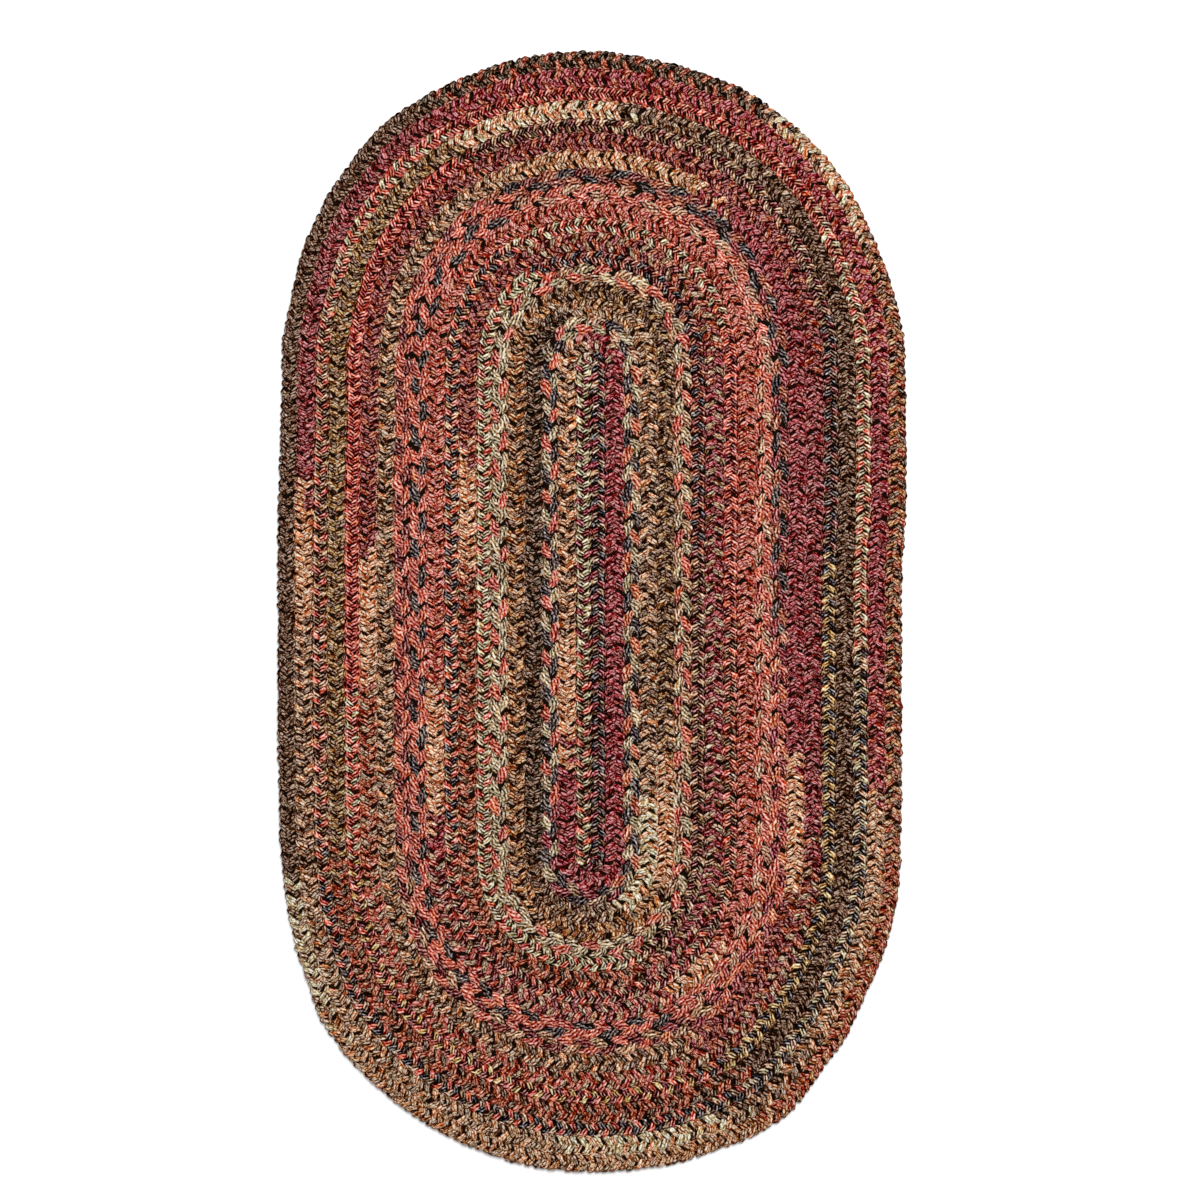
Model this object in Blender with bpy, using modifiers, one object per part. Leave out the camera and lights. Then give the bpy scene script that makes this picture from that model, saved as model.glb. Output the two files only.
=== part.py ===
"""An oval rug of nineteen rings of braid, one round the other, laced edge to edge.

The innermost ring goes round a straight seam in the middle, where its own two sides are laced together.

Units are metres, +Z is up and +Y runs along the rug. The rug lies flat, its underside on z = 0,
and the origin is at the bottom centre. Both faces are alike, as both sides of a braid are.
"""

import math

import bmesh
import bpy
from mathutils import Vector

# Driving sizes
SEAM_LENGTH = 0.537  # straight seam in the middle, which the first ring goes round
THICKNESS = 0.010  # crown to crown
SEAM_DEPTH = 0.0026  # how far the seam between two rings lies below their crowns
SHOULDER = 0.0038  # width of the slope from a seam up to the crown
RIM_BULGE = 0.0014  # how far the rim stands out at half thickness
MERGE = 0.00001

# Width of a laid ring, by the way its braid is worked
RING_WIDTH = {
    "short": 0.0164,  # firm braid of smooth yarn with short lobes
    "long": 0.01775,  # slack braid of smooth yarn with long lobes
    "chenille": 0.0190,  # plump braid of furry yarn
}

# The rings from the middle seam outwards
RINGS = (
    "short",
    "chenille",
    "long",
    "chenille",
    "chenille",
    "long",
    "short",
    "chenille",
    "short",
    "chenille",
    "long",
    "long",
    "chenille",
    "chenille",
    "short",
    "chenille",
    "short",
    "chenille",
    "chenille",
)
HALF_WIDTH = sum(RING_WIDTH[braid] for braid in RINGS)

# The way round is counted in quarters, clockwise from the left end of the top bend:
# 0 to 1 is the top bend, 1 to 2 the right side, 2 to 3 the bottom bend, 3 to 4 the left side.
BEND_STEPS = 18
SIDE_STEPS = 5
STEPS_OF_QUARTER = (BEND_STEPS, SIDE_STEPS, BEND_STEPS, SIDE_STEPS)

# The laced edge wanders in and out of a true oval. Columns: place on the way round, distance outwards.
EDGE = (
    (0.00, -0.0060),
    (0.08, -0.0074),
    (0.14, -0.0040),
    (0.22, -0.0004),
    (0.27, 0.0034),
    (0.34, 0.0008),
    (0.41, 0.0000),
    (0.60, -0.0028),
    (0.66, 0.0005),
    (0.75, 0.0000),
    (0.88, -0.0045),
    (1.00, 0.0000),
    (1.15, 0.0010),
    (1.30, 0.0004),
    (1.42, -0.0036),
    (1.85, -0.0042),
    (2.00, -0.0050),
    (2.14, -0.0080),
    (2.22, -0.0016),
    (2.30, 0.0104),
    (2.39, 0.0036),
    (2.50, -0.0004),
    (2.72, -0.0014),
    (2.82, 0.0004),
    (2.88, -0.0062),
    (2.95, -0.0078),
    (3.05, -0.0040),
    (3.25, -0.0020),
    (3.60, -0.0016),
    (4.00, -0.0060),
)


def clear_scene():
    for obj in list(bpy.data.objects):
        bpy.data.objects.remove(obj)


def collection(name):
    """A new collection of the scene."""
    made = bpy.data.collections.new(name)
    bpy.context.scene.collection.children.link(made)
    return made


def eased(share):
    """0 to 1 with a level start and end."""
    share = min(max(share, 0.0), 1.0)
    return share * share * (3 - 2 * share)


def edge_offset(place):
    """How far the laced edge lies outside a true oval at this place."""
    for (start, low), (end, high) in zip(EDGE, EDGE[1:]):
        if place <= end:
            return low + (high - low) * eased((place - start) / (end - start))
    return EDGE[-1][1]


def seam_point(place, distance):
    """The point at this place, at this distance from the middle seam."""
    place %= 4
    quarter = int(place)
    share = place - quarter
    half = SEAM_LENGTH / 2
    distance += edge_offset(place) * (distance / HALF_WIDTH) ** 2
    if quarter == 0:
        angle = math.pi * (1 - share)
        return Vector((distance * math.cos(angle), half + distance * math.sin(angle), 0))
    if quarter == 1:
        return Vector((distance, half - share * SEAM_LENGTH, 0))
    if quarter == 2:
        angle = -math.pi * share
        return Vector((distance * math.cos(angle), -half + distance * math.sin(angle), 0))
    return Vector((-distance, share * SEAM_LENGTH - half, 0))


def ring_places():
    """The places of the stations on the way round."""
    places = []
    for quarter, steps in enumerate(STEPS_OF_QUARTER):
        places += [quarter + i / steps for i in range(steps)]
    return places


def profile_across():
    """The upper face from the middle seam to the rim, as (distance, height above the middle plane)."""
    crown = THICKNESS / 2
    seam = crown - SEAM_DEPTH
    profile = [(0.0, seam)]
    for braid in RINGS:
        inner = profile[-1][0]
        outer = inner + RING_WIDTH[braid]
        profile += [(inner + SHOULDER, crown), (outer - SHOULDER, crown), (outer, seam)]
    profile[-1] = (HALF_WIDTH - RIM_BULGE, seam)
    return profile


def laid_rings():
    """The upper face: a grid of the profile's points by the stations round the rug, closed on itself."""
    places = ring_places()
    profile = profile_across()
    around = len(places)
    across = len(profile) - 1

    bm = bmesh.new()
    bmesh.ops.create_grid(bm, x_segments=around, y_segments=across, size=0.5)
    for vert in bm.verts:
        station = round((vert.co.x + 0.5) * around)
        point = round((vert.co.y + 0.5) * across)
        distance, height = profile[point]
        vert.co = seam_point(places[station % around], distance)
        vert.co.z = height
    bmesh.ops.remove_doubles(bm, verts=bm.verts, dist=MERGE)
    return bm


def add_rim(bm):
    """Drops the outer edge to the middle plane, where it bulges out, so the mirrored half meets it."""
    edges = [edge for edge in bm.edges if edge.is_boundary]
    made = bmesh.ops.extrude_edge_only(bm, edges=edges)["geom"]
    half = SEAM_LENGTH / 2
    for vert in made:
        if isinstance(vert, bmesh.types.BMVert):
            nearest = Vector((0, min(max(vert.co.y, -half), half), vert.co.z))
            vert.co += (vert.co - nearest).normalized() * RIM_BULGE
            vert.co.z = 0


def centre_on_origin(bm):
    """Brings the middle of the rug's outline over the origin."""
    for axis in range(2):
        values = [vert.co[axis] for vert in bm.verts]
        middle = (min(values) + max(values)) / 2
        for vert in bm.verts:
            vert.co[axis] -= middle


def yarn_material():
    """Wool and chenille yarn in mixed reds and browns."""
    material = bpy.data.materials.new("braided_yarn")
    material.use_nodes = True
    shader = material.node_tree.nodes["Principled BSDF"]
    shader.inputs["Base Color"].default_value = (0.156, 0.060, 0.040, 1)
    shader.inputs["Roughness"].default_value = 0.9
    shader.inputs["Metallic"].default_value = 0.0
    return material


def braided_rug(parts):
    bm = laid_rings()
    add_rim(bm)
    centre_on_origin(bm)
    mesh = bpy.data.meshes.new("braided_rug")
    bm.to_mesh(mesh)
    bm.free()
    mesh.shade_smooth()
    mesh.set_sharp_from_angle(angle=math.radians(60))
    mesh.materials.append(yarn_material())

    rug = bpy.data.objects.new("braided_rug", mesh)
    rug.location = (0, 0, THICKNESS / 2)
    underside = rug.modifiers.new("underside", "MIRROR")
    underside.use_axis = (False, False, True)
    underside.merge_threshold = MERGE
    parts.objects.link(rug)
    return rug


clear_scene()
braided_rug(collection("braided_rug"))
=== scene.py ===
"""An oval braided rug: nineteen rings of three-strand braid, one round the other, laced edge to edge.

Units are metres, +Z is up and +Y runs along the rug.
"""

import math

import bpy
import numpy as np
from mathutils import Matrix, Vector


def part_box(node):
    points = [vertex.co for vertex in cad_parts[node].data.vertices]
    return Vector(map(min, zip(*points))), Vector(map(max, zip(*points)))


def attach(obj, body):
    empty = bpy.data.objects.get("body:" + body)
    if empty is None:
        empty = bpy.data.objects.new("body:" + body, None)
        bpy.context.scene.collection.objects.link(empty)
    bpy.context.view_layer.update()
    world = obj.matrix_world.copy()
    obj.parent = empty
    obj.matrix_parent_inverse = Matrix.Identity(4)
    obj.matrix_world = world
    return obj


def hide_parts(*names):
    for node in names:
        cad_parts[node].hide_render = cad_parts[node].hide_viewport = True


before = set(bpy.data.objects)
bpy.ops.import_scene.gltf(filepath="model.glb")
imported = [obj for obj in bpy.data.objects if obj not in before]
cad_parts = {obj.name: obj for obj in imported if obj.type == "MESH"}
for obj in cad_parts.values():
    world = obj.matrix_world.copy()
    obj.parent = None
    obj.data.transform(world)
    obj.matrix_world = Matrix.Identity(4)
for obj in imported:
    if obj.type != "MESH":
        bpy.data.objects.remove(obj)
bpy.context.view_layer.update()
RUG_LOW, RUG_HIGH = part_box("braided_rug")
bpy.ops.object.select_all(action="DESELECT")


# ---- The heart of the mat ----------------------------------------------------------------------
# Between the two faces of a braided rug the strands are packed so close by the lacing that nothing
# tells one from the next. Of this matted wool only the gaps between lobes show, coloured near black as
# painted shade.
HEART_THICKNESS = 0.0045
HEART_INSET = 0.0028  # from the rim
WELD = 0.000001
# Near black: painted shade for the gaps between lobes.
HEART_PAINTED_SHADE = (0.006, 0.003, 0.002)
MATTED_LUMPS = 700  # a metre
# The depths of the lumps are painted darker, as painted shade.
MATTED_SHADES = (0.4, 1.8)  # times the dark wool, from the depth of a lump to its top

THICKNESS = RUG_HIGH.z - RUG_LOW.z
MIDDLE = (RUG_HIGH.z + RUG_LOW.z) / 2


def principled(name, roughness):
    """A new material with a dull woollen surface: its node tree and its shader."""
    material = bpy.data.materials.new(name)
    material.use_nodes = True
    shader = material.node_tree.nodes["Principled BSDF"]
    shader.inputs["Roughness"].default_value = roughness
    shader.inputs["Specular IOR Level"].default_value = 0.0
    return material.node_tree, shader


def add_node(tree, kind, inputs, output=0, **settings):
    """A new node with these settings. Each input is a value or another node's output."""
    node = tree.nodes.new("ShaderNode" + kind)
    for name, value in settings.items():
        setattr(node, name, value)
    for name, value in inputs.items():
        if isinstance(value, bpy.types.NodeSocket):
            tree.links.new(value, node.inputs[name])
        else:
            node.inputs[name].default_value = value
    return node.outputs[output]


def map_range(tree, value, low, high, at_low, at_high):
    """The value between low and high, as a value between at_low and at_high."""
    limits = {"From Min": low, "From Max": high, "To Min": at_low, "To Max": at_high}
    return add_node(tree, "MapRange", {"Value": value, **limits})


def give_surface(tree, shader, colour, relief, strength, distance):
    """Links the shader to its colour and to its fine relief, this strong and this deep."""
    tree.links.new(colour, shader.inputs["Base Color"])
    bump = add_node(tree, "Bump", {"Height": relief, "Strength": strength, "Distance": distance})
    tree.links.new(bump, shader.inputs["Normal"])


def put_on_rug(piece, material):
    """Gives the piece its material and its place in the frame."""
    piece.data.materials.clear()
    piece.data.materials.append(bpy.data.materials[material])
    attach(piece, "root")
    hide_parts("braided_rug")


def matted_wool_painted_shade():
    """Wool in small lumps, coloured near black as painted shade for the gaps between lobes, and painted
    darker in the depths of the lumps.
    """
    tree, shader = principled("matted_wool_painted_shade", roughness=0.95)
    spot = add_node(tree, "TexCoord", {}, output="Object")
    lumps = add_node(tree, "TexNoise", {"Vector": spot, "Scale": MATTED_LUMPS, "Detail": 4.0})
    shade = map_range(tree, lumps, 0.0, 1.0, *MATTED_SHADES)
    colour = add_node(tree, "VectorMath", {0: HEART_PAINTED_SHADE, "Scale": shade}, operation="SCALE")
    give_surface(tree, shader, colour, lumps, strength=0.6, distance=0.0008)


matted_wool_painted_shade()
# A sheet of wool at mid-thickness, coloured as painted shade for the gaps between lobes.
heart = bpy.data.objects.new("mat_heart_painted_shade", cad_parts["braided_rug"].data.copy())
bpy.context.scene.collection.objects.link(heart)
bpy.context.view_layer.objects.active = heart
heart.select_set(True)
bpy.ops.object.mode_set(mode="EDIT")
bpy.ops.mesh.select_all(action="SELECT")
bpy.ops.mesh.remove_doubles(threshold=WELD)
bpy.ops.transform.resize(
    value=(
        1 - HEART_INSET / RUG_HIGH.x,
        1 - HEART_INSET / RUG_HIGH.y,
        HEART_THICKNESS / THICKNESS,
    ),
    center_override=(0, 0, MIDDLE),
)
bpy.ops.object.mode_set(mode="OBJECT")
put_on_rug(heart, "matted_wool_painted_shade")


# ---- Firm braids of smooth yarn ----------------------------------------------------------------
# Five of the nineteen rings are braided tight from smooth wool yarn, three ends in each lobe that
# shows. The lobes are short, like beads, and the whole ring is laced flat to its neighbour.
SEAM_LENGTH = 0.537  # straight seam in the middle, which the first ring goes round
ROW_WIDTH = {"firm": 0.0164, "slack": 0.01775, "chenille": 0.0190}
RINGS = (
    "firm",
    "chenille",
    "slack",
    "chenille",
    "chenille",
    "slack",
    "firm",
    "chenille",
    "firm",
    "chenille",
    "slack",
    "slack",
    "chenille",
    "chenille",
    "firm",
    "chenille",
    "firm",
    "chenille",
    "chenille",
)
SEAMS = np.cumsum([0.0] + [ROW_WIDTH[braid] for braid in RINGS])

# The way round is counted in quarters, clockwise from the left end of the top bend: 0 to 1 is the
# top bend, 1 to 2 the right side, 2 to 3 the bottom bend, 3 to 4 the left side.
JOIN = 0.318  # here the two ends of each ring's braid are joined

# The laced edge wanders in and out of a true oval. Columns: place on the way round, distance outwards.
EDGE = (
    (0.00, -0.0060),
    (0.08, -0.0074),
    (0.14, -0.0040),
    (0.22, -0.0004),
    (0.27, 0.0034),
    (0.34, 0.0008),
    (0.41, 0.0000),
    (0.60, -0.0028),
    (0.66, 0.0005),
    (0.75, 0.0000),
    (0.88, -0.0045),
    (1.00, 0.0000),
    (1.15, 0.0010),
    (1.30, 0.0004),
    (1.42, -0.0036),
    (1.85, -0.0042),
    (2.00, -0.0050),
    (2.14, -0.0080),
    (2.22, -0.0016),
    (2.30, 0.0104),
    (2.39, 0.0036),
    (2.50, -0.0004),
    (2.72, -0.0014),
    (2.82, 0.0004),
    (2.88, -0.0062),
    (2.95, -0.0078),
    (3.05, -0.0040),
    (3.25, -0.0020),
    (3.60, -0.0016),
    (4.00, -0.0060),
)

FIRM = {
    "period": 0.0240,  # from where a strand leaves one edge to where it comes back to it
    "reach": 0.0074,  # how far a strand's middle swings to each side
    "rise": 0.0025,  # how far it climbs over the others and dives under them
    "zigzag": 0.09,  # how much straighter it crosses, and turns more sharply, than a plain wave
    "plateau": 0.10,  # how much longer it keeps to its height than a plain wave
    "crest": (0.0043, 0.0027),  # half its width and half its thickness on top of the others
    "edge": (0.0033, 0.0038),  # the same where it turns round at the braid's edges
    "middle": (0.0029, 0.0028),  # and where it crosses the middle
    "stations": 10,
    "sides": 8,
    "pressed": 20,  # degrees by which its yarns are pressed in towards its middle
    "swell": (1.05, 0.90),  # over a yarn, and in the groove between two
    "mottled": 0.5,  # share of its length where the tone changes from point to point
    "heather": 0.9,  # how far its tones stand out from the main one
    "tint": (0.99, 1.16, 1.34),  # times the chart's red, green and blue, to make up for its shades
    "stray": (0.0018, 0.0009, 0.0002),  # how far a lobe strays along the braid, across it and up
    "plump": 0.10,  # how much plumper or thinner it is than the next
    "material": "firm_yarn",
}
MOST_HEIGHT = 0.0052  # of a lobe above the middle plane, where feet have trodden it down
RIM_TRIM = 0.80  # of a lobe's reach, on the outer side of the last ring
STRANDS = 3
LOBES = 4  # that a strand shows in a period, two on each face
LAYOUT_STEPS = 3000
LAYOUT_MARGIN = 1  # quarter laid out beyond the join at each end, for what strays past it
MERGE = 0.00001

# The hand that braids and laces is never quite even, and the braid wanders in long waves.
WANDER_WAVES = (0.31, 0.17, 0.083)
WANDER_ALONG = 0.0012
WANDER_ACROSS = 0.0004

# The yarns' heathers, in sRGB out of 255. Columns: main tone, deep tone, odd tone, lightest tone.
YARNS = {
    "coral": ((180, 97, 81), (142, 61, 53), (198, 121, 82), (216, 150, 128)),
    "brick": ((157, 90, 77), (120, 57, 49), (166, 104, 76), (192, 134, 116)),
    "red": ((141, 50, 44), (107, 28, 29), (169, 67, 50), (192, 104, 90)),
    "orange": ((179, 101, 73), (137, 63, 46), (196, 131, 86), (214, 166, 133)),
    "rust": ((144, 79, 57), (104, 46, 35), (160, 94, 64), (188, 136, 106)),
    "maroon": ((119, 57, 52), (82, 31, 35), (147, 79, 65), (162, 109, 93)),
    "plum": ((138, 65, 62), (101, 37, 44), (154, 75, 82), (172, 101, 91)),
    "charcoal": ((70, 59, 59), (41, 32, 33), (95, 69, 56), (132, 116, 104)),
    "sage": ((167, 147, 118), (108, 86, 64), (152, 141, 106), (212, 196, 162)),
    "cream": ((167, 150, 126), (120, 98, 77), (178, 144, 110), (204, 192, 170)),
    "peach": ((167, 129, 102), (134, 91, 70), (188, 136, 103), (205, 180, 152)),
    "tan": ((160, 119, 91), (122, 78, 56), (166, 138, 98), (212, 180, 146)),
    "taupe": ((136, 103, 80), (92, 60, 50), (146, 124, 92), (198, 168, 138)),
    "brown": ((102, 68, 51), (70, 39, 31), (114, 88, 58), (152, 120, 92)),
    "umber": ((68, 48, 35), (38, 27, 20), (86, 59, 38), (120, 93, 64)),
    "olive": ((135, 98, 66), (96, 60, 43), (142, 118, 74), (192, 160, 114)),
    "golden": ((146, 101, 70), (104, 60, 43), (158, 126, 78), (200, 166, 120)),
    "gold": ((169, 136, 87), (118, 87, 54), (187, 149, 90), (219, 197, 154)),
}
TONE_SHARES = (0.44, 0.62, 0.80)  # of the ends of yarn up to main, deep and odd
CHANGE_BLUR = 0.03  # of a quarter by which a yarn changes sooner or later from lobe to lobe
SHADE_SPREAD = 0.05  # how much lighter or darker a lobe is than the next

# Tones go from 0 to 1 and round again by these steps, so that neighbours differ and the whole is even.
GOLDEN_STEP = 0.618
SIDE_STEP = 0.3
END_STEP = 0.382
STRAND_STEP = 0.21
POINT_JITTER = 0.3
END_JITTER = 0.4

# A shade makes the dye deeper, and one below 0 makes it paler; most shades here are painted shade in
# gaps, grooves and clefts, and painted highlight on crowns. Columns of a shade that follows a value:
# the value where it starts, the value where it ends, and the shades there.
WARM_DEPTHS = (1.25, 0.92, 0.72, 1)  # as light that comes out of a depth has struck wool many times
SHUT_IN = (0.25, 0.85)  # how steep a flank is where its shade starts, and where it is full
FLECKS = 420.0  # a metre
FLECK_SHADE = (0.3, 0.7, 1.0, -1.0)
CROWN_SPAN = (0.1, 0.9)  # from the groove between two ends of yarn to their crowns
PLY_SPAN = (-1.0, 0.6)  # from the groove between two plies to their crowns
PLY_RELIEF = 0.3
UNEVEN_TWIST = 260.0  # changes a metre in how tight the yarn is twisted
TWIST_DRIFT = 5.0

# Each ring's yarns. Columns: place where they start, then the yarns of the three strands.
FIRM_ROWS = {
    1: (
        (0.32, "taupe", "charcoal", "plum"),
        (1.60, "brown", "charcoal", "plum"),
        (1.85, "charcoal", "brown", "plum"),
        (2.60, "sage", "coral", "brown"),
        (3.40, "sage", "plum", "sage"),
    ),
    7: (
        (0.32, "charcoal", "maroon", "rust"),
        (1.40, "brown", "maroon", "tan"),
        (2.35, "sage", "coral", "sage"),
        (2.80, "sage", "sage", "coral"),
    ),
    9: (
        (0.32, "sage", "coral", "rust"),
        (0.95, "coral", "maroon", "coral"),
        (1.50, "rust", "brown", "coral"),
        (2.10, "taupe", "coral", "maroon"),
        (3.00, "charcoal", "coral", "tan"),
    ),
    15: (
        (0.32, "brown", "maroon", "tan"),
        (0.95, "charcoal", "maroon", "brown"),
        (1.39, "charcoal", "gold", "olive"),
        (2.32, "gold", "coral", "maroon"),
        (3.00, "coral", "coral", "sage"),
        (3.32, "coral", "coral", "red"),
        (3.90, "coral", "red", "coral"),
    ),
    17: (
        (0.32, "coral", "rust", "red"),
        (0.82, "tan", "coral", "sage"),
        (1.58, "sage", "charcoal", "tan"),
        (2.32, "charcoal", "coral", "taupe"),
        (3.00, "brown", "coral", "tan"),
        (4.15, "coral", "sage", "coral"),
    ),
}


def eased(share):
    """0 to 1 with a level start and end."""
    share = np.clip(share, 0, 1)
    return share * share * (3 - 2 * share)


def edge_offset(place):
    """How far the laced edge lies outside a true oval at these places."""
    places, offsets = np.array(EDGE).T
    i = np.clip(np.searchsorted(places, place, side="right") - 1, 0, len(EDGE) - 2)
    share = (place - places[i]) / (places[i + 1] - places[i])
    return offsets[i] + (offsets[i + 1] - offsets[i]) * eased(share)


def oval_point(place, distance):
    """x and y of the points at these places, at these distances from the middle seam."""
    place = np.mod(place, 4)
    quarter = np.floor(place).astype(int)
    share = place - quarter
    distance = distance + edge_offset(place) * (distance / SEAMS[-1]) ** 2
    half = SEAM_LENGTH / 2
    angle = np.choose(quarter, [math.pi * (1 - share), 0.0, -math.pi * share, math.pi])
    centre = np.choose(quarter, [half, half - SEAM_LENGTH * share, -half, SEAM_LENGTH * share - half])
    return distance * np.cos(angle), centre + distance * np.sin(angle)


# The middle of the rim's box lies over the origin, as in the frame.
rim_x, rim_y = oval_point(np.linspace(0, 4, LAYOUT_STEPS), SEAMS[-1])
OVAL_MIDDLE = ((rim_x.max() + rim_x.min()) / 2, (rim_y.max() + rim_y.min()) / 2)


def spine_of(braid, along):
    """Where a strand's middle runs, this far along the braid: across it, and above its middle plane."""
    phase = 2 * math.pi * along / braid["period"]
    across = np.sin(phase) - braid["zigzag"] * np.sin(3 * phase)
    height = np.sin(2 * phase) + braid["plateau"] * np.sin(6 * phase)
    return braid["reach"] * across, braid["rise"] * height


def values_of(elements, name, kind, width=1):
    """What Blender holds under this name for each of the elements, as an array."""
    values = np.empty(len(elements) * width, kind)
    elements.foreach_get(name, values)
    return values.reshape(-1, width) if width > 1 else values


def add_mark(mesh, name, kind, values, domain="POINT"):
    """A named value for each vertex or edge of the mesh."""
    mesh.attributes.new(name, kind, domain).data.foreach_set("value", values)


def tube_of(name, braid):
    """A straight tube, one period long, with a ring of vertices at each station."""
    step = braid["period"] / braid["stations"]
    bpy.ops.object.select_all(action="DESELECT")
    bpy.ops.mesh.primitive_circle_add(vertices=braid["sides"], radius=step, rotation=(0, math.pi / 2, 0))
    tube = bpy.context.object
    tube.name = name
    bpy.ops.object.transform_apply(rotation=True)
    bpy.ops.object.mode_set(mode="EDIT")
    bpy.ops.mesh.select_all(action="SELECT")
    for _ in range(braid["stations"]):
        bpy.ops.mesh.extrude_region_move(TRANSFORM_OT_translate={"value": (step, 0, 0)})
    bpy.ops.object.mode_set(mode="OBJECT")
    return tube


def bend_strand(mesh, braid, station, side):
    """Bends the tube to the path of a strand in the braid, and gives it the strand's section."""
    step = braid["period"] / braid["stations"]
    round_it = side * 2 * math.pi / braid["sides"]
    round_it += math.radians(braid["pressed"]) * np.sin(2 * round_it)
    x = (station + 0.5) * step
    phase = 2 * math.pi * x / braid["period"]
    over = np.sin(2 * phase) ** 2
    at_edge = (1 - over) * (np.cos(2 * phase) < 0)
    at_middle = (1 - over) * (np.cos(2 * phase) > 0)
    here, before, after = (np.stack(spine_of(braid, x + shift)) for shift in (0, -step / 4, step / 4))
    tangent = np.stack([np.full_like(x, step / 2), *(after - before)])
    tangent /= np.linalg.norm(tangent, axis=0)
    across = np.stack([-tangent[1], tangent[0], 0 * x])
    across /= np.linalg.norm(across, axis=0)
    upward = np.cross(tangent, across, axis=0)
    swell = np.where(side % 2 == 1, *braid["swell"])
    sizes = np.outer(braid["crest"], over) + np.outer(braid["edge"], at_edge)
    half_width, half_thickness = sizes + np.outer(braid["middle"], at_middle)
    bent = np.stack([x, *here]) + across * half_width * swell * np.cos(round_it)
    bent += upward * half_thickness * swell * np.sin(round_it)
    mesh.vertices.foreach_set("co", bent.T.ravel())


def unroll(mesh, braid, station, side):
    """A UV map that runs along the strand once a period, and round it."""
    corner = values_of(mesh.loops, "vertex_index", int)
    round_share = side[corner].reshape(-1, 4)
    wrapped = (round_share == 0) & (round_share.max(axis=1) == braid["sides"] - 1)[:, None]
    round_share = (round_share + braid["sides"] * wrapped) / braid["sides"]
    uv = np.stack([station[corner] / braid["stations"], round_share.ravel()], axis=1)
    mesh.uv_layers.active.data.foreach_set("uv", uv.ravel())


def strand_of(name, braid):
    """One strand of the braid over one period, a tube modelled straight and then bent to its path."""
    strand = tube_of(name, braid)
    mesh = strand.data
    x, y, z = values_of(mesh.vertices, "co", float, 3).T
    sides = braid["sides"]
    station = np.rint(x / (braid["period"] / braid["stations"])).astype(int)
    side = np.rint(np.arctan2(z, y) / (2 * math.pi / sides)).astype(int) % sides
    crown = side % 2 == 1  # on top of a yarn, and not in the groove between two
    bend_strand(mesh, braid, station, side)
    unroll(mesh, braid, station, side)
    add_mark(mesh, "crown", "FLOAT", crown.astype(float))
    add_mark(mesh, "side", "INT", side)
    add_mark(mesh, "station", "INT", station)

    # The groove between two yarns is sharp, and the yarns themselves are round.
    ends = values_of(mesh.edges, "vertices", int, 2)
    groove = ~crown[ends].any(axis=1) & (station[ends[:, 0]] != station[ends[:, 1]])
    bpy.ops.object.shade_smooth()
    add_mark(mesh, "sharp_edge", "BOOLEAN", groove, domain="EDGE")

    bpy.ops.object.mode_set(mode="EDIT")
    bpy.ops.mesh.select_all(action="SELECT")
    bpy.ops.mesh.normals_make_consistent(inside=False)
    bpy.ops.object.mode_set(mode="OBJECT")
    return strand


def plait_of(name, braid):
    """One period of the braid: the strand and its two copies, each a third of a period further on."""
    step = braid["period"] / STRANDS
    strands = [strand_of(name, braid)]
    for _ in range(STRANDS - 1):
        bpy.ops.object.select_all(action="DESELECT")
        strands[-1].select_set(True)
        bpy.context.view_layer.objects.active = strands[-1]
        bpy.ops.object.duplicate_move(TRANSFORM_OT_translate={"value": (step, 0, 0)})
        strands.append(bpy.context.object)
        bpy.ops.object.transform_apply(location=True)
    for number, strand in enumerate(strands):
        add_mark(strand.data, "strand", "INT", np.full(len(strand.data.vertices), number))
        strand.select_set(True)
    bpy.context.view_layer.objects.active = strands[0]
    bpy.ops.object.join()
    return strands[0]


def linear(colour):
    """The sRGB colour, out of 255, as the linear values that shaders take."""
    value = np.array(colour) / 255
    return np.where(value <= 0.04045, value / 12.92, ((value + 0.055) / 1.055) ** 2.4)


def long_plait(row, plait, braid, repeats):
    """A copy of the plait, repeated along a straight line, with the ends of its strands closed."""
    bpy.ops.object.select_all(action="DESELECT")
    piece = plait.copy()
    piece.data = plait.data.copy()
    piece.name = f"braid_row_{row:02d}"
    bpy.context.scene.collection.objects.link(piece)
    piece.select_set(True)
    bpy.context.view_layer.objects.active = piece
    repeat = piece.modifiers.new("repeat", "ARRAY")
    repeat.count = repeats
    repeat.use_relative_offset = False
    repeat.use_constant_offset = True
    repeat.constant_offset_displace = (braid["period"], 0, 0)
    repeat.use_merge_vertices = True
    repeat.merge_threshold = MERGE
    bpy.ops.object.modifier_apply(modifier="repeat")
    bpy.ops.object.mode_set(mode="EDIT")
    bpy.ops.mesh.select_all(action="SELECT")
    bpy.ops.mesh.fill_holes(sides=0)
    bpy.ops.object.mode_set(mode="OBJECT")
    return piece


def unlike_lobes(rng, braid, repeats, strand, along, lobe):
    """How each lobe differs, from -1 to 1: in its place along, across and up, and in its girth."""
    crests = (np.arange(lobe.max() + 2) - LOBES + 0.5) * braid["period"] / LOBES
    unlike = rng.uniform(-1, 1, (STRANDS, 4, len(crests)))
    start = LOBES * repeats
    unlike[:, :, start:] = unlike[:, :, : len(crests) - start]  # the last lobes are the first again
    unlike = np.stack([[np.interp(along, crests, value) for value in values] for values in unlike])
    return np.take_along_axis(unlike, strand[None, None, :], axis=0)[0]


def wander_of(rng, x, length):
    """How the braid wanders, from -1 to 1, in waves that close on themselves."""
    wander = np.zeros_like(x)
    for wave in WANDER_WAVES:
        waves = round(length / wave)
        wander += np.sin(2 * math.pi * (waves * x / length + rng.random())) / len(WANDER_WAVES)
    return wander


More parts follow.
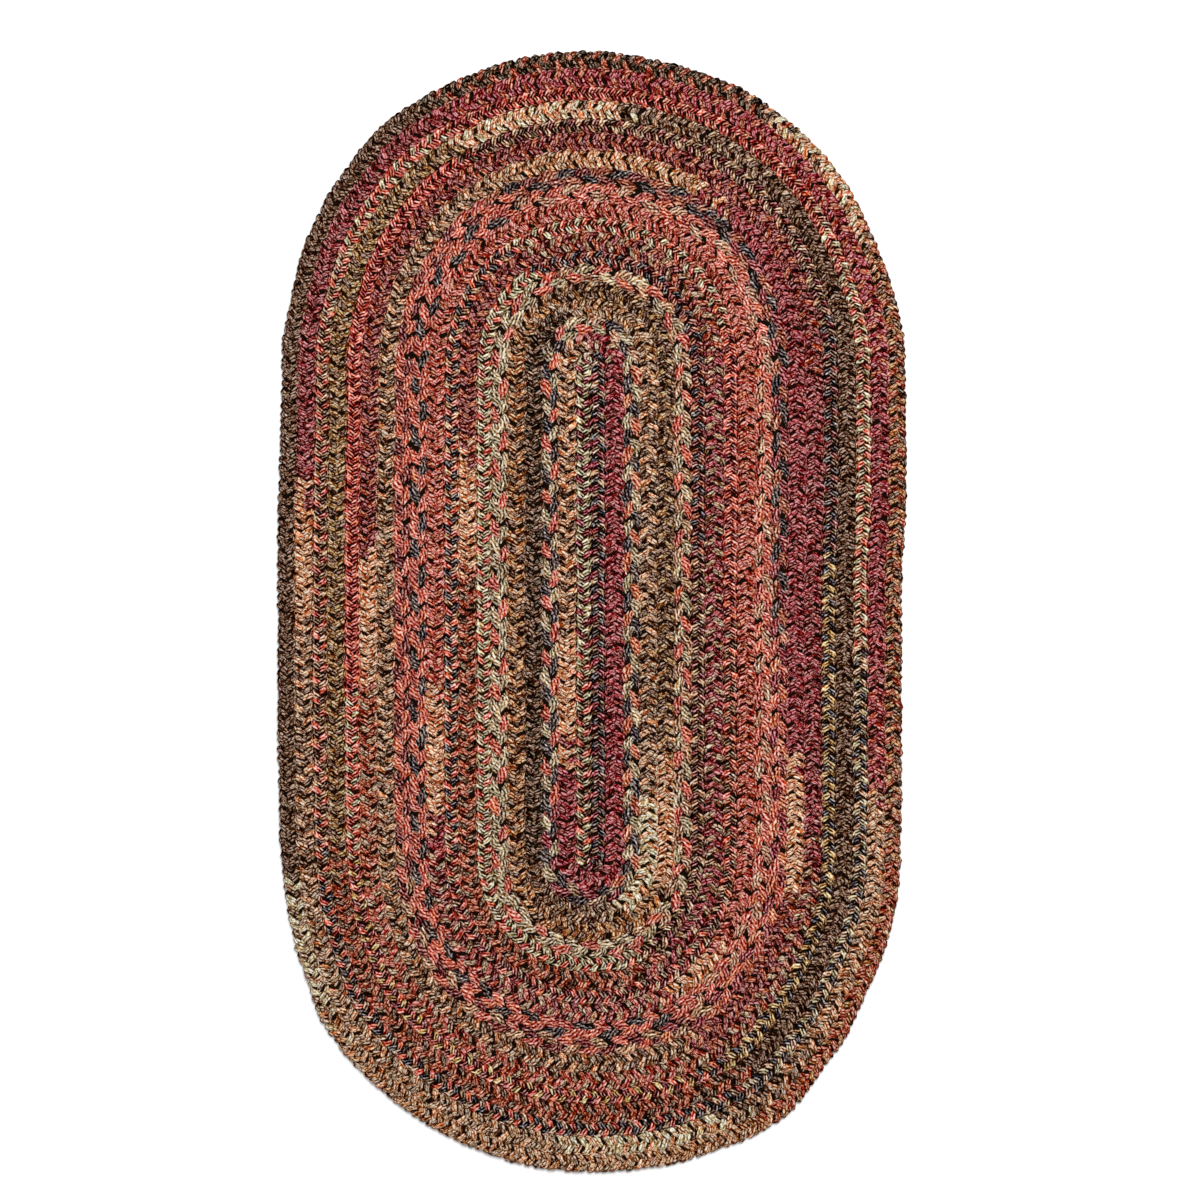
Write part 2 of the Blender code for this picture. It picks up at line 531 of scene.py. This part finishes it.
def dye_lobes(mesh, rng, braid, stretches, place, strand, side, lobe, scatter):
    """Gives each lobe the yarn of its strand there, and each end of yarn or tuft its own tone."""
    lobes = lobe.max() + 1
    starts = np.array([stretch[0] for stretch in stretches])
    blur = CHANGE_BLUR * rng.standard_normal((STRANDS, lobes))
    which = np.searchsorted(starts, place + blur[strand, lobe], side="right") - 1
    which = np.clip(which, 0, len(starts) - 1)
    tones = np.array([[YARNS[yarn] for yarn in stretch[1:]] for stretch in stretches])
    tones = linear(tones[:, :, :1] + braid["heather"] * (tones - tones[:, :, :1]))
    pick = rng.uniform(0, END_JITTER, (STRANDS, lobes, braid["sides"] // 2))[strand, lobe, side // 2]
    pick = np.mod(pick + GOLDEN_STEP * lobe + END_STEP * (side // 2) + STRAND_STEP * strand, 1)
    pick = np.where(rng.random(len(strand)) < braid["mottled"], scatter, pick)
    tone = np.searchsorted(TONE_SHARES, pick)
    shade = rng.normal(1, SHADE_SPREAD, (STRANDS, lobes))[strand, lobe]
    colour = np.ones((len(strand), 4))
    colour[:, :3] = tones[which, strand, tone] * np.outer(shade, braid["tint"])
    mesh.color_attributes.new("dye", "FLOAT_COLOR", "POINT").data.foreach_set("color", colour.ravel())


def braid_row(row, plait, braid, stretches, pile=None):
    """One ring of the rug: the plait repeated, bent round the oval, and given its yarns and any pile."""
    rng = np.random.default_rng(row)
    middle = (SEAMS[row - 1] + SEAMS[row]) / 2
    places = np.linspace(JOIN - LAYOUT_MARGIN, JOIN + 4 + LAYOUT_MARGIN, LAYOUT_STEPS)
    x, y = oval_point(places, middle)
    run = np.concatenate([[0], np.cumsum(np.hypot(np.diff(x), np.diff(y)))])
    run -= np.interp(JOIN, places, run)
    length = np.interp(JOIN + 4, places, run)
    repeats = round(length / braid["period"])
    plain_length = repeats * braid["period"]

    piece = long_plait(row, plait, braid, repeats)
    mesh = piece.data
    marks = ("strand", "side", "station")
    strand, side, station = (values_of(mesh.attributes[mark].data, "value", int) for mark in marks)
    straight = values_of(mesh.vertices, "co", float, 3).T

    # No two lobes are alike: each strays a little, and is plumper or thinner than the next.
    along = (station + 0.5) * braid["period"] / braid["stations"]
    start_of_strand = strand * braid["period"] / STRANDS
    along += np.rint((straight[0] - start_of_strand - along) / braid["period"]) * braid["period"]
    spine = np.stack([along + start_of_strand, *spine_of(braid, along)])
    lobe = np.floor(along / braid["period"] * LOBES).astype(int) + LOBES
    unlike = unlike_lobes(rng, braid, repeats, strand, along, lobe)
    plump = 1 + braid["plump"] * unlike[3]
    x, y, z = spine + (straight - spine) * plump + unlike[:3] * np.array(braid["stray"])[:, None]

    wander = wander_of(rng, x, plain_length)
    place = np.interp(x * length / plain_length + WANDER_ALONG * wander, run, places)
    outward = y
    if row == len(RINGS):
        y = np.where(y > 0, y * RIM_TRIM, y)
    x, y = oval_point(place, middle + WANDER_ACROSS * wander + y)
    laid = np.stack([x - OVAL_MIDDLE[0], y - OVAL_MIDDLE[1], z + MIDDLE], axis=1)
    mesh.vertices.foreach_set("co", laid.ravel())
    mesh.update()

    # Neighbours are unlike, so that the tones and the tufts are well mixed.
    hops = rng.random((STRANDS, lobe.max() + 1))[strand, lobe]
    hops += rng.uniform(0, POINT_JITTER, len(strand))
    scatter = np.mod(hops + GOLDEN_STEP * station + SIDE_STEP * side, 1)
    if pile:
        laid = pile(mesh, laid, scatter, strand, side, along)
    laid[:, 2] = np.clip(laid[:, 2], MIDDLE - MOST_HEIGHT, MIDDLE + MOST_HEIGHT)
    mesh.vertices.foreach_set("co", laid.ravel())
    mesh.update()

    # A lobe's flanks are shut in by its neighbours, but for those at the rim; the more steeply a flank
    # slopes, the more shade is painted on it.
    shut_in = 1 - np.abs(values_of(mesh.vertices, "normal", float, 3)[:, 2])
    if row == len(RINGS):
        shut_in *= 1 - eased(outward / braid["reach"])
    add_mark(mesh, "shut_in", "FLOAT", shut_in)

    dye_lobes(mesh, rng, braid, stretches, place, strand, side, lobe, scatter)
    for mark in marks:
        mesh.attributes.remove(mesh.attributes[mark])
    put_on_rug(piece, braid["material"])
    return piece


def shaded_dye(tree, shades):
    """The piece's dye with its painted shade: deeper and richer where the shades add up, and paler, as a
    painted highlight, where they fall below 0.
    """
    dye = add_node(tree, "Attribute", {}, output="Color", attribute_name="dye")
    total = shades[0]
    for shade in shades[1:]:
        total = add_node(tree, "Math", {0: total, 1: shade}, operation="ADD")
    power = add_node(tree, "Math", {0: 2.0, 1: total}, operation="POWER")
    depth = add_node(tree, "Math", {0: total, 1: 0.0}, operation="MAXIMUM")
    warmth = add_node(tree, "Gamma", {"Color": WARM_DEPTHS, "Gamma": depth})
    shaded = add_node(tree, "Gamma", {"Color": dye, "Gamma": power})
    return add_node(tree, "VectorMath", {0: shaded, 1: warmth}, operation="MULTIPLY")


def gap_shade(tree, spot, most, deep, high):
    """The shade in the gaps between lobes: none on their crowns, on either face, and most in the depths."""
    height = add_node(tree, "SeparateXYZ", {0: spot}, output="Z")
    above = add_node(tree, "Math", {0: height, 1: MIDDLE}, operation="SUBTRACT")
    above = add_node(tree, "Math", {0: above}, operation="ABSOLUTE")
    depth = map_range(tree, above, deep, high, most, 0.0)
    shut_in = add_node(tree, "Attribute", {}, output="Fac", attribute_name="shut_in")
    flank = map_range(tree, shut_in, *SHUT_IN, 0.0, most)
    return add_node(tree, "Math", {0: depth, 1: flank}, operation="MAXIMUM")


def smooth_yarn(name, gap, groove, plies, ply):
    """Wool yarn with a heather of tones, plied, and laid in ends side by side.

    gap is the most painted shade in the gaps between lobes, and the heights between which it fades. groove
    and ply are the painted shades in the grooves between ends and between plies, and the painted highlights
    on their crowns. plies is how many plies pass along a period, and how many round the strand, below 0
    where they slant back.
    """
    tree, shader = principled(name, roughness=0.8)
    crown = add_node(tree, "Attribute", {}, output="Fac", attribute_name="crown")
    spot = add_node(tree, "TexCoord", {}, output="Object")
    uv = add_node(tree, "TexCoord", {}, output="UV")
    gap = gap_shade(tree, spot, *gap)
    between = map_range(tree, crown, *CROWN_SPAN, *groove)
    flecks = add_node(tree, "TexNoise", {"Vector": spot, "Scale": FLECKS, "Detail": 1.0, "Roughness": 0.6})
    fleck = map_range(tree, flecks, *FLECK_SHADE)
    along = add_node(tree, "SeparateXYZ", {0: uv}, output="X")
    around = add_node(tree, "SeparateXYZ", {0: uv}, output="Y")
    uneven = add_node(tree, "TexNoise", {"Vector": spot, "Scale": UNEVEN_TWIST, "Detail": 0.0})
    uneven = add_node(tree, "Math", {0: uneven, 1: TWIST_DRIFT}, operation="MULTIPLY")
    twist = {0: along, 1: plies[0] * 2 * math.pi, 2: uneven}
    twist = add_node(tree, "Math", twist, operation="MULTIPLY_ADD")
    twist = {0: around, 1: plies[1] * 2 * math.pi, 2: twist}
    twist = add_node(tree, "Math", twist, operation="MULTIPLY_ADD")
    twist = add_node(tree, "Math", {0: twist}, operation="SINE")
    ply_shade = map_range(tree, twist, *PLY_SPAN, *ply)
    colour = shaded_dye(tree, (gap, between, fleck, ply_shade))
    relief = add_node(tree, "Math", {0: twist, 1: PLY_RELIEF, 2: flecks}, operation="MULTIPLY_ADD")
    give_surface(tree, shader, colour, relief, strength=0.5, distance=0.0004)


smooth_yarn(
    "firm_yarn",
    gap=(1.8, 0.0026, 0.0048),
    groove=(1.1, -0.6),
    plies=(6, -3),
    ply=(0.9, -0.7),
)
firm_plait = plait_of("firm_plait", FIRM)
for row, stretches in FIRM_ROWS.items():
    braid_row(row, firm_plait, FIRM, stretches)


# ---- Slack braids of smooth yarn ---------------------------------------------------------------
# Four rings are braided slack, from the same smooth wool in thicker strands. Their long lobes lie
# nearly in line with the braid, like leaves on a stem, four or five ends of yarn side by side.
SLACK = {
    "period": 0.0600,
    "reach": 0.0066,
    "rise": 0.0022,
    "zigzag": -0.04,
    "plateau": 0.0,
    "crest": (0.0062, 0.0030),
    "edge": (0.0044, 0.0038),
    "middle": (0.0040, 0.0034),
    "stations": 16,
    "sides": 12,
    "pressed": 10,
    "swell": (1.05, 0.88),
    "mottled": 0.5,
    "heather": 0.9,
    "tint": (0.87, 0.92, 1.00),
    "stray": (0.0045, 0.0009, 0.0003),
    "plump": 0.12,
    "material": "slack_yarn",
}
SLACK_ROWS = {
    3: (
        (0.32, "sage", "peach", "charcoal"),
        (1.00, "sage", "charcoal", "orange"),
        (2.30, "charcoal", "plum", "taupe"),
        (2.75, "charcoal", "plum", "sage"),
        (3.10, "charcoal", "sage", "coral"),
    ),
    6: (
        (0.32, "coral", "tan", "sage"),
        (2.40, "sage", "coral", "sage"),
    ),
    11: (
        (0.32, "coral", "peach", "coral"),
        (1.00, "coral", "coral", "peach"),
        (2.30, "coral", "charcoal", "coral"),
    ),
    12: (
        (0.32, "rust", "charcoal", "maroon"),
        (0.75, "charcoal", "plum", "rust"),
        (1.56, "orange", "plum", "coral"),
        (2.32, "maroon", "coral", "tan"),
        (3.00, "maroon", "coral", "coral"),
    ),
}
smooth_yarn(
    "slack_yarn",
    gap=(0.7, 0.0004, 0.0028),
    groove=(0.8, -0.2),
    plies=(11, 6),
    ply=(1.2, -0.7),
)
slack_plait = plait_of("slack_plait", SLACK)
for row, stretches in SLACK_ROWS.items():
    braid_row(row, slack_plait, SLACK, stretches)


# ---- Plump braids of chenille ------------------------------------------------------------------
# The other ten rings are chenille, a furry yarn whose pile stands round its core in tufts. They are
# the widest, and their lobes are broken up into beads with clefts between, darkened by painted shade.
CHENILLE = {
    "period": 0.0250,
    "reach": 0.0088,
    "rise": 0.0023,
    "zigzag": 0.09,
    "plateau": 0.10,
    "crest": (0.0040, 0.0027),
    "edge": (0.0036, 0.0038),
    "middle": (0.0038, 0.0031),
    "stations": 14,
    "sides": 8,
    "pressed": 22,
    "swell": (1.02, 0.96),
    "mottled": 1.0,
    "heather": 0.6,
    "tint": (1.46, 1.84, 2.13),
    "stray": (0.0022, 0.0012, 0.0002),
    "plump": 0.08,
    "material": "chenille_yarn",
}
TUFT_HEIGHT = 0.0020
TUFTS = 250.0  # a metre
HAIRS = 560.0  # a metre
CHENILLE_GAP = (1.3, 0.0014, 0.0038)
VALLEY_SHADE = (0.15, 0.85, 0.7, -0.5)  # by how high the pile stands
CLEFT_SHADE = (0.02, 0.18, 2.0, -0.45)  # by the distance from the edge of a tuft
TUFT_SHADE = (0.0, 1.0, -0.3, 0.2)  # from tuft to tuft
HAIR_SHADE = (0.3, 0.7, 0.7, -0.7)
CLEFT_RELIEF = 3.0
PATH_LENGTH = 1.8  # of a strand, for each metre of braid
LONG_TUFTS = 1.1  # times as long as thick
TUFT_STEP = 0.4
OF_YARN, OF_TUFT = 0.3, 0.7  # what share of a point's height comes from its yarn, and from its own tuft
CHENILLE_ROWS = {
    2: (
        (0.32, "brick", "maroon", "rust"),
        (0.50, "plum", "taupe", "plum"),
        (1.00, "plum", "plum", "maroon"),
        (3.20, "peach", "peach", "tan"),
        (3.44, "tan", "brown", "tan"),
    ),
    4: (
        (0.32, "taupe", "taupe", "golden"),
        (1.00, "tan", "taupe", "brown"),
        (1.86, "cream", "tan", "cream"),
        (2.38, "brown", "taupe", "brown"),
        (3.00, "brown", "umber", "brown"),
    ),
    5: (
        (0.32, "brown", "brown", "olive"),
        (1.77, "tan", "peach", "tan"),
        (2.15, "golden", "golden", "brown"),
        (4.05, "golden", "taupe", "golden"),
    ),
    8: (
        (0.32, "maroon", "taupe", "rust"),
        (1.00, "maroon", "plum", "taupe"),
        (2.00, "maroon", "taupe", "plum"),
        (2.35, "rust", "brown", "rust"),
        (3.57, "peach", "tan", "peach"),
        (3.83, "maroon", "rust", "maroon"),
    ),
    10: (
        (0.32, "brick", "brick", "rust"),
        (1.00, "brick", "rust", "brick"),
        (2.20, "peach", "tan", "peach"),
        (2.34, "maroon", "brick", "taupe"),
        (3.00, "plum", "maroon", "plum"),
        (3.07, "peach", "peach", "peach"),
        (3.33, "brick", "brick", "rust"),
    ),
    13: (
        (0.32, "tan", "taupe", "tan"),
        (0.48, "peach", "tan", "golden"),
        (0.70, "plum", "maroon", "plum"),
        (1.80, "peach", "tan", "peach"),
        (2.06, "maroon", "maroon", "rust"),
        (2.32, "taupe", "tan", "brown"),
    ),
    14: (
        (0.32, "rust", "maroon", "maroon"),
        (1.00, "plum", "maroon", "maroon"),
        (2.00, "rust", "taupe", "maroon"),
        (2.32, "brick", "rust", "taupe"),
        (3.00, "rust", "taupe", "rust"),
        (3.35, "peach", "peach", "tan"),
        (3.61, "maroon", "maroon", "rust"),
    ),
    16: (
        (0.33, "peach", "peach", "cream"),
        (0.54, "brown", "brown", "taupe"),
        (0.75, "brown", "brown", "brown"),
        (2.32, "rust", "brown", "rust"),
        (3.00, "olive", "brown", "olive"),
    ),
    18: (
        (0.32, "plum", "plum", "rust"),
        (1.00, "plum", "plum", "maroon"),
        (1.60, "plum", "maroon", "brick"),
        (1.87, "tan", "tan", "taupe"),
        (2.20, "tan", "taupe", "brown"),
        (2.36, "cream", "cream", "tan"),
        (2.53, "tan", "taupe", "taupe"),
        (3.00, "taupe", "tan", "brown"),
        (3.47, "peach", "tan", "tan"),
        (3.75, "maroon", "plum", "maroon"),
    ),
    19: (
        (0.32, "umber", "brown", "rust"),
        (0.72, "peach", "cream", "peach"),
        (0.85, "golden", "rust", "brown"),
        (2.00, "rust", "golden", "rust"),
        (2.31, "tan", "taupe", "golden"),
        (2.84, "cream", "cream", "taupe"),
        (2.97, "brown", "brown", "brown"),
    ),
}


def chenille_pile(mesh, laid, scatter, strand, side, along):
    """Raises each point as the tufts of its pile do, and marks how high it is and where on its yarn."""
    crown = values_of(mesh.attributes["crown"].data, "value", float)
    crown = OF_YARN * crown + OF_TUFT * np.mod(scatter + TUFT_STEP, 1)
    mesh.attributes["crown"].data.foreach_set("value", crown)
    round_it = 2 * math.pi * side / CHENILLE["sides"]
    half_width = CHENILLE["crest"][0]
    on_yarn = [half_width * np.cos(round_it), half_width * np.sin(round_it)]
    on_yarn = np.stack([*on_yarn, along * PATH_LENGTH / LONG_TUFTS + strand], axis=1)
    mesh.attributes.new("on_yarn", "FLOAT_VECTOR", "POINT").data.foreach_set("vector", on_yarn.ravel())
    normal = values_of(mesh.vertices, "normal", float, 3)
    return laid + normal * (TUFT_HEIGHT * (crown - 0.5))[:, None]


def chenille_yarn():
    """Chenille pile: short tufts, with a painted highlight at their tips and painted shade in the deep
    clefts between.
    """
    tree, shader = principled("chenille_yarn", roughness=1.0)
    crown = add_node(tree, "Attribute", {}, output="Fac", attribute_name="crown")
    spot = add_node(tree, "TexCoord", {}, output="Object")
    gap = gap_shade(tree, spot, *CHENILLE_GAP)
    valley = map_range(tree, crown, *VALLEY_SHADE)
    on_yarn = add_node(tree, "Attribute", {}, output="Vector", attribute_name="on_yarn")
    tufts = {"Vector": on_yarn, "Scale": TUFTS, "Randomness": 0.8}
    edge = add_node(tree, "TexVoronoi", tufts, output="Distance", feature="DISTANCE_TO_EDGE")
    cleft = map_range(tree, edge, *CLEFT_SHADE)
    tuft = add_node(tree, "TexVoronoi", tufts, output="Color")
    tuft_tone = add_node(tree, "SeparateXYZ", {0: tuft}, output="X")
    tuft_shade = map_range(tree, tuft_tone, *TUFT_SHADE)
    hairs = add_node(tree, "TexNoise", {"Vector": spot, "Scale": HAIRS, "Detail": 2.0, "Roughness": 0.7})
    hair_shade = map_range(tree, hairs, *HAIR_SHADE)
    colour = shaded_dye(tree, (gap, valley, cleft, tuft_shade, hair_shade))
    relief = add_node(tree, "Math", {0: edge, 1: CLEFT_RELIEF, 2: hairs}, operation="MULTIPLY_ADD")
    give_surface(tree, shader, colour, relief, strength=0.8, distance=0.0007)


chenille_yarn()
chenille_plait = plait_of("chenille_plait", CHENILLE)
for row, stretches in CHENILLE_ROWS.items():
    braid_row(row, chenille_plait, CHENILLE, stretches, pile=chenille_pile)

for plait in (firm_plait, slack_plait, chenille_plait):
    bpy.data.objects.remove(plait)


# ---- Floor, light and camera -------------------------------------------------------------------
# A plain white studio floor, a wide soft light overhead and a camera that looks straight down.
FLOOR_SIZE = 8.0
FLOOR_GAP = 0.0003
CAMERA_HEIGHT = 4.91
CAMERA_OVER = (0.0087, 0.0125)
LENS = 135  # millimetres
SOFTBOX_PLACE = (0.25, 0.7, 2.9)
SOFTBOX_SIZE = 1.2
SOFTBOX_POWER = 92  # watts
FLOOR_COLOUR = (0.92, 0.92, 0.92, 1)
WHITE = (1, 1, 1, 1)
DAYLIGHT = 0.5
FARTHEST = 50  # that the camera sees

bpy.ops.object.select_all(action="DESELECT")
bpy.ops.mesh.primitive_plane_add(size=FLOOR_SIZE, location=(0, 0, -FLOOR_GAP))
floor = bpy.context.object
floor.name = "floor"
tree, shader = principled("white_floor", roughness=0.9)
shader.inputs["Base Color"].default_value = FLOOR_COLOUR
floor.data.materials.append(bpy.data.materials["white_floor"])

bpy.ops.object.light_add(type="AREA", location=SOFTBOX_PLACE)
softbox = bpy.context.object
softbox.name = "softbox"
softbox.data.size = SOFTBOX_SIZE
softbox.data.energy = SOFTBOX_POWER
softbox.rotation_euler = Vector(SOFTBOX_PLACE).to_track_quat("Z", "Y").to_euler()

world = bpy.data.worlds.new("studio")
bpy.context.scene.world = world
world.use_nodes = True
world.node_tree.nodes["Background"].inputs["Color"].default_value = WHITE
world.node_tree.nodes["Background"].inputs["Strength"].default_value = DAYLIGHT

bpy.ops.object.camera_add(location=(*CAMERA_OVER, CAMERA_HEIGHT), rotation=(0, 0, 0))
camera = bpy.context.object
camera.data.lens = LENS
camera.data.clip_end = FARTHEST
bpy.context.scene.camera = camera
bpy.context.scene.view_settings.view_transform = "Standard"
